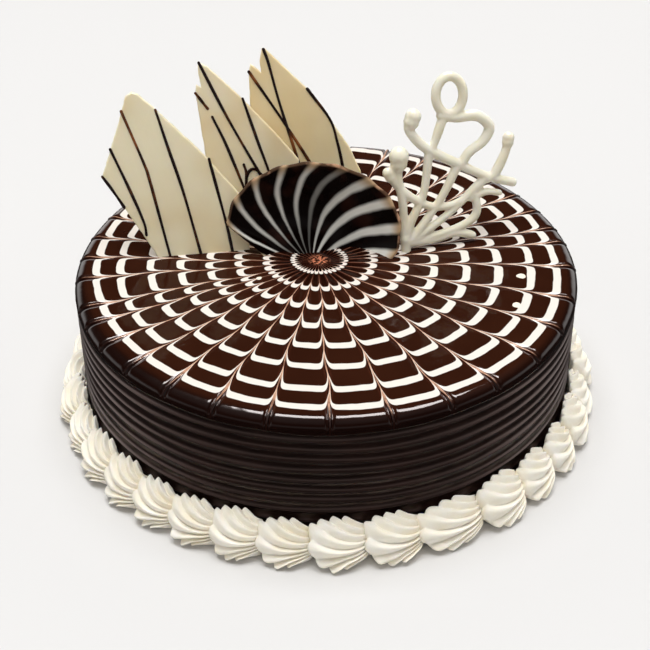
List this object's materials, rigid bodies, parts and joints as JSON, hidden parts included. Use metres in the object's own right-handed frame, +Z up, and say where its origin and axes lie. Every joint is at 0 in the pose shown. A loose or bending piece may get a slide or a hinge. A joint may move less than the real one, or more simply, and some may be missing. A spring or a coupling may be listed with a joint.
{
  "type": "zebra cake",
  "caption": "Round glazed celebration cake with a feathered web top, combed side, piped cream border and upright chocolate decorations.",
  "frame": {"origin": "middle of the cake's flat foot, on the surface it rests on", "axes": "+Z up through the decorations; the shards, fan and filigree face -Y, the front; +X to the right seen from the front"},
  "size_m": [0.238, 0.2376, 0.1397],
  "materials": {
    "chocolate_cream": "satin dark chocolate cream, combed in ridges",
    "dark_glaze": "mirror gloss dark chocolate glaze with a feathered web of white and tan lines",
    "white_cream": "soft satin whipped cream",
    "white_chocolate": "satin ivory white chocolate with dark drizzle lines",
    "marbled_chocolate": "glossy near-black chocolate with soft grey-white stripes"
  },
  "bodies": {
    "root": {"cake_body": "chocolate_cream", "web_glaze": "dark_glaze", "cream_shell_01": "white_cream", "cream_shell_02": "white_cream", "cream_shell_03": "white_cream", "cream_shell_04": "white_cream", "cream_shell_05": "white_cream", "cream_shell_06": "white_cream", "cream_shell_07": "white_cream", "cream_shell_08": "white_cream", "cream_shell_09": "white_cream", "cream_shell_10": "white_cream", "cream_shell_11": "white_cream", "cream_shell_12": "white_cream", "cream_shell_13": "white_cream", "cream_shell_14": "white_cream", "cream_shell_15": "white_cream", "cream_shell_16": "white_cream", "cream_shell_17": "white_cream", "cream_shell_18": "white_cream", "cream_shell_19": "white_cream", "cream_shell_20": "white_cream", "cream_shell_21": "white_cream", "cream_shell_22": "white_cream", "cream_shell_23": "white_cream", "cream_shell_24": "white_cream", "cream_shell_25": "white_cream", "cream_shell_26": "white_cream", "cream_shell_27": "white_cream", "cream_shell_28": "white_cream", "cream_shell_29": "white_cream", "cream_shell_30": "white_cream", "cream_shell_31": "white_cream", "cream_shell_32": "white_cream", "cream_shell_33": "white_cream", "cream_shell_34": "white_cream", "cream_shell_35": "white_cream", "shard_left": "white_chocolate", "shard_middle": "white_chocolate", "shard_right": "white_chocolate", "chocolate_fan": "marbled_chocolate", "filigree": "white_chocolate"}
  },
  "joints": []
}
